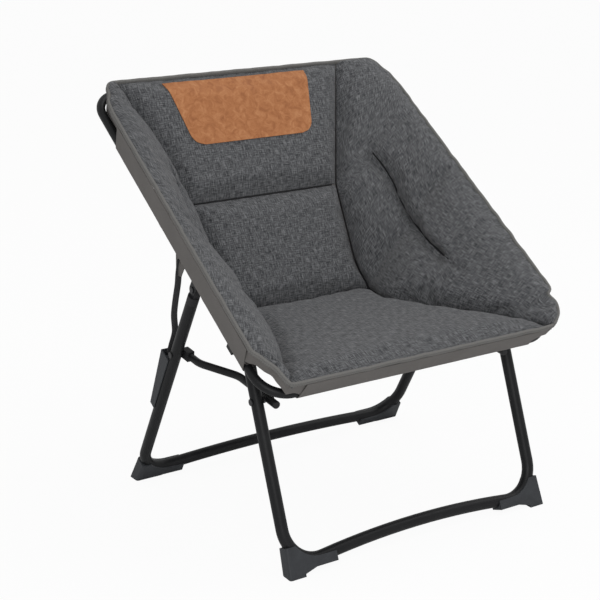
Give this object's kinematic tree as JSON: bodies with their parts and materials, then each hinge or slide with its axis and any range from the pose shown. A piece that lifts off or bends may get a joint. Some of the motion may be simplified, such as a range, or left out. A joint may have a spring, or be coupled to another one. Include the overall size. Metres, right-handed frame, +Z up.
{
  "type": "folding camping chair",
  "caption": "Low folding camping chair: a padded cloth bucket seat slung on a tilted tube rim, with crossing front and rear leg frames that fold up under it on side links.",
  "frame": {"origin": "on the floor under the middle of the chair's bounding box", "axes": "+Z up, -Y the way the chair faces, +X to the right when looking at its front"},
  "size_m": [0.744, 0.7726, 0.885],
  "materials": {
    "heather_cloth": "woven, matt, heathered charcoal grey",
    "canvas": "smooth matt canvas, warm grey",
    "tan_leather": "tan, mottled, satin",
    "webbing": "woven ribbon, matt black",
    "black_tube": "satin black powder coat",
    "dark_plastic": "moulded, matt, dark grey",
    "rivet_steel": "black, semi-gloss"
  },
  "bodies": {
    "rim": {"back_backing": "canvas", "back_lower_pad": "heather_cloth", "back_upper_pad": "heather_cloth", "band_front": "canvas", "band_left": "canvas", "band_right": "canvas", "band_top": "canvas", "edge_binding": "canvas", "front_bracket_left": "black_tube", "front_bracket_right": "black_tube", "front_pivot_rivet_left": "rivet_steel", "front_pivot_rivet_right": "rivet_steel", "leather_patch": "tan_leather", "rear_bracket_left": "black_tube", "rear_bracket_right": "black_tube", "rear_pivot_rivet_left": "rivet_steel", "rear_pivot_rivet_right": "rivet_steel", "rim_front_hoop": "black_tube", "rim_joint_left": "black_tube", "rim_joint_right": "black_tube", "rim_rear_hoop": "black_tube", "seat_backing": "canvas", "seat_pad": "heather_cloth", "strap_left": "webbing", "strap_right": "webbing", "strap_tab_left": "canvas", "strap_tab_right": "canvas", "wing_backing_left": "canvas", "wing_backing_right": "canvas", "wing_pad_left": "heather_cloth", "wing_pad_right": "heather_cloth"},
    "rear_legs": {"rear_leg_frame": "black_tube", "rear_foot_left": "dark_plastic", "rear_foot_right": "dark_plastic", "rear_hinge_plug_left": "dark_plastic", "rear_hinge_plug_right": "dark_plastic", "link_rear_rivet_left": "rivet_steel", "link_rear_rivet_right": "rivet_steel", "leg_clip_left": "dark_plastic", "leg_clip_right": "dark_plastic"},
    "front_legs": {"front_leg_frame": "black_tube", "front_foot_left": "dark_plastic", "front_foot_right": "dark_plastic", "front_hinge_plug_left": "dark_plastic", "front_hinge_plug_right": "dark_plastic", "link_front_rivet_left": "rivet_steel", "link_front_rivet_right": "rivet_steel"},
    "left_link": {"link_tube_left": "black_tube", "link_eye_left": "dark_plastic", "link_cap_left": "dark_plastic", "link_button_left": "rivet_steel"},
    "right_link": {"link_tube_right": "black_tube", "link_eye_right": "dark_plastic", "link_cap_right": "dark_plastic", "link_button_right": "rivet_steel"}
  },
  "joints": [
    {"name": "rear_fold", "type": "hinge", "parent": "rim", "child": "rear_legs", "pos_m": [0, -0.07518, 0.51971], "axis": [1, 0, 0], "range_deg": [0, 76], "deforming": ["strap_left", "strap_right", "strap_tab_left", "strap_tab_right"]},
    {"name": "front_fold", "type": "hinge", "parent": "rim", "child": "front_legs", "pos_m": [0, -0.20794, 0.41553], "axis": [1, 0, 0], "range_deg": [0, 120.1]},
    {"name": "left_link_turn", "type": "hinge", "parent": "rear_legs", "child": "left_link", "pos_m": [-0.3289, 0.02125, 0.356], "axis": [1, 0, 0], "range_deg": [-49.7, 0]},
    {"name": "right_link_turn", "type": "hinge", "parent": "rear_legs", "child": "right_link", "pos_m": [0.3289, 0.02125, 0.356], "axis": [1, 0, 0], "range_deg": [-49.7, 0]}
  ],
  "couplings": [
    {"joint": "front_fold", "follows": "rear_fold", "ratio": 1.5793},
    {"joint": "left_link_turn", "follows": "rear_fold", "ratio": -0.6535},
    {"joint": "right_link_turn", "follows": "rear_fold", "ratio": -0.6535}
  ]
}
